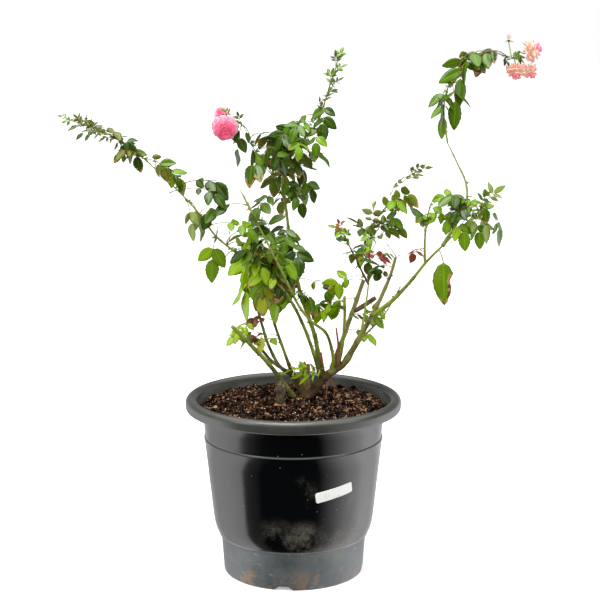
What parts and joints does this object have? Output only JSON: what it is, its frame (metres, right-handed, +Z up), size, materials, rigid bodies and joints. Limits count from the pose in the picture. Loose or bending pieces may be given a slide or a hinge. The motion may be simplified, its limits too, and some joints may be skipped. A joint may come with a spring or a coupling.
{
  "type": "potted rose bush",
  "caption": "Sparse rose bush of open arching canes with leaf sprays and small pink double blooms, in a round black nursery pot.",
  "frame": {"origin": "centre of the flat underside of the pot", "axes": "+Z up along the pot's axis; the front is seen looking along +Y, with +X to the right"},
  "size_m": [0.6351, 0.3102, 0.7434],
  "materials": {
    "pot_plastic": "glossy black blow-moulded plastic with dust and rub marks",
    "potting_mix": "dark, damp, crumbly potting mix",
    "old_wood": "dull grey-brown bark",
    "green_cane": "smooth green bark with brown flecks and thorns",
    "leaf": "soft satin leaf",
    "bright_leaf": "soft satin young leaf",
    "red_leaf": "soft satin red young leaf",
    "blossom": "matt petals"
  },
  "bodies": {
    "root": {"arch_leaves_high": "leaf", "arch_leaves_low": "leaf", "arch_tip_leaves": "leaf", "bloom_branch": "green_cane", "bloom_left": "blossom", "blooms_right": "blossom", "bough_tip_leaves": "leaf", "bright_leaves_low": "bright_leaf", "centre_cane": "green_cane", "crossing_cane": "green_cane", "cut_cane": "green_cane", "fork_cane": "green_cane", "front_twig": "green_cane", "grey_stub": "old_wood", "hanging_leaf_right": "leaf", "hanging_leaves_left": "leaf", "head_leaves": "leaf", "head_leaves_left": "leaf", "heart_leaves_lower": "leaf", "heart_leaves_upper": "leaf", "inner_leaves_left": "leaf", "inner_shoot": "green_cane", "knotty_cane": "green_cane", "leaning_cane": "green_cane", "leaves_inner_right": "leaf", "leaves_low_centre": "leaf", "leaves_low_left": "bright_leaf", "leaves_low_right": "leaf", "leaves_mid_right": "leaf", "leaves_rear_right": "leaf", "leaves_upper_right": "leaf", "left_cane": "green_cane", "main_crown": "old_wood", "middle_leaves_left": "leaf", "old_stump": "old_wood", "outer_leaves_left": "leaf", "pot": "pot_plastic", "rear_head_leaves": "leaf", "rear_heart_leaves": "leaf", "rear_twig": "green_cane", "red_leaves": "red_leaf", "right_bough": "green_cane", "right_cane": "green_cane", "shoulder_leaves_left": "leaf", "shoulder_leaves_right": "leaf", "side_crown": "old_wood", "side_stub": "green_cane", "slim_cane": "green_cane", "soil": "potting_mix", "sprout_leaves": "bright_leaf", "tall_arch": "green_cane", "tall_shoot": "green_cane", "tip_leaves_left": "leaf", "tip_leaves_rear": "leaf", "tip_leaves_top": "leaf", "twig_leaves_front": "leaf", "upright_stub": "green_cane", "whip_cane": "green_cane"}
  },
  "joints": []
}
